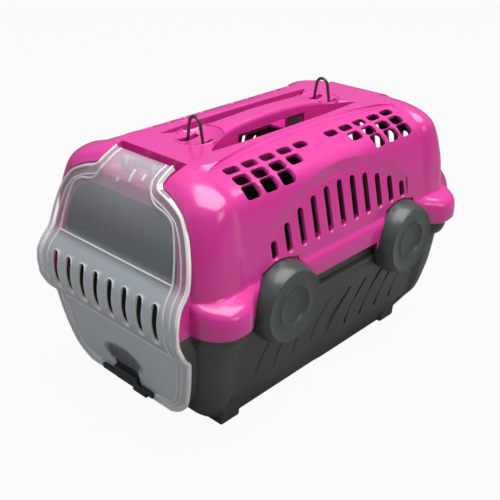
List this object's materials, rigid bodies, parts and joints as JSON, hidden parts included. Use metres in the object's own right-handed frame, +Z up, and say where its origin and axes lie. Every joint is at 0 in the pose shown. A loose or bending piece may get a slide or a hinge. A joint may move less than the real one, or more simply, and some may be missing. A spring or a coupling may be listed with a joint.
{
  "type": "pet carrier",
  "caption": "Two-part moulded pet carrier with a see-through hinged front door, round side clips, a carrying handle and wire strap loops.",
  "frame": {"origin": "centre of the footprint, on the floor", "axes": "+Z up, -Y towards the door, +X to the right seen from the door"},
  "size_m": [0.253, 0.408, 0.2705],
  "materials": {
    "upper_plastic": "glossy moulded polypropylene",
    "lower_plastic": "satin moulded polypropylene",
    "door_plastic": "frosted see-through plastic",
    "latch_plastic": "satin moulded plastic",
    "clip_plastic": "glossy moulded plastic",
    "steel": "plain steel",
    "wire": "dark steel wire"
  },
  "bodies": {
    "carrier": {"lower_shell": "lower_plastic", "upper_shell": "upper_plastic", "door_hinge_rod": "steel", "clip_pin_front_right": "steel", "clip_pin_front_left": "steel", "clip_pin_rear_right": "steel", "clip_pin_rear_left": "steel", "loop_keeper_front": "upper_plastic", "loop_keeper_rear": "upper_plastic", "keeper_screws_front": "steel", "keeper_screws_rear": "steel"},
    "door": {"front_door": "door_plastic"},
    "latch": {"door_latch": "latch_plastic"},
    "front_right_clip": {"clip_front_right": "clip_plastic"},
    "front_left_clip": {"clip_front_left": "clip_plastic"},
    "rear_right_clip": {"clip_rear_right": "clip_plastic"},
    "rear_left_clip": {"clip_rear_left": "clip_plastic"},
    "front_loop": {"loop_front": "wire"},
    "rear_loop": {"loop_rear": "wire"}
  },
  "joints": [
    {"name": "door_hinge", "type": "hinge", "parent": "carrier", "child": "door", "pos_m": [0, -0.149, 0.2395], "axis": [-1, 0, 0], "range_deg": [0, 105]},
    {"name": "latch_slide", "type": "slide", "parent": "door", "child": "latch", "axis": [0, 0.1513, -0.9885], "range_m": [0, 0.004]},
    {"name": "front_right_clip_hinge", "type": "hinge", "parent": "carrier", "child": "front_right_clip", "pos_m": [0.111, -0.0899, 0.1578], "axis": [0, -1, 0], "range_deg": [0, 75]},
    {"name": "front_left_clip_hinge", "type": "hinge", "parent": "carrier", "child": "front_left_clip", "pos_m": [-0.111, -0.0899, 0.1578], "axis": [0, 1, 0], "range_deg": [0, 75]},
    {"name": "rear_right_clip_hinge", "type": "hinge", "parent": "carrier", "child": "rear_right_clip", "pos_m": [0.111, 0.0899, 0.1578], "axis": [0, -1, 0], "range_deg": [0, 75]},
    {"name": "rear_left_clip_hinge", "type": "hinge", "parent": "carrier", "child": "rear_left_clip", "pos_m": [-0.111, 0.0899, 0.1578], "axis": [0, 1, 0], "range_deg": [0, 75]},
    {"name": "front_loop_hinge", "type": "hinge", "parent": "carrier", "child": "front_loop", "pos_m": [0, -0.089, 0.241], "axis": [1, 0, 0], "range_deg": [-50, 50]},
    {"name": "rear_loop_hinge", "type": "hinge", "parent": "carrier", "child": "rear_loop", "pos_m": [0, 0.089, 0.241], "axis": [1, 0, 0], "range_deg": [-50, 50]}
  ]
}
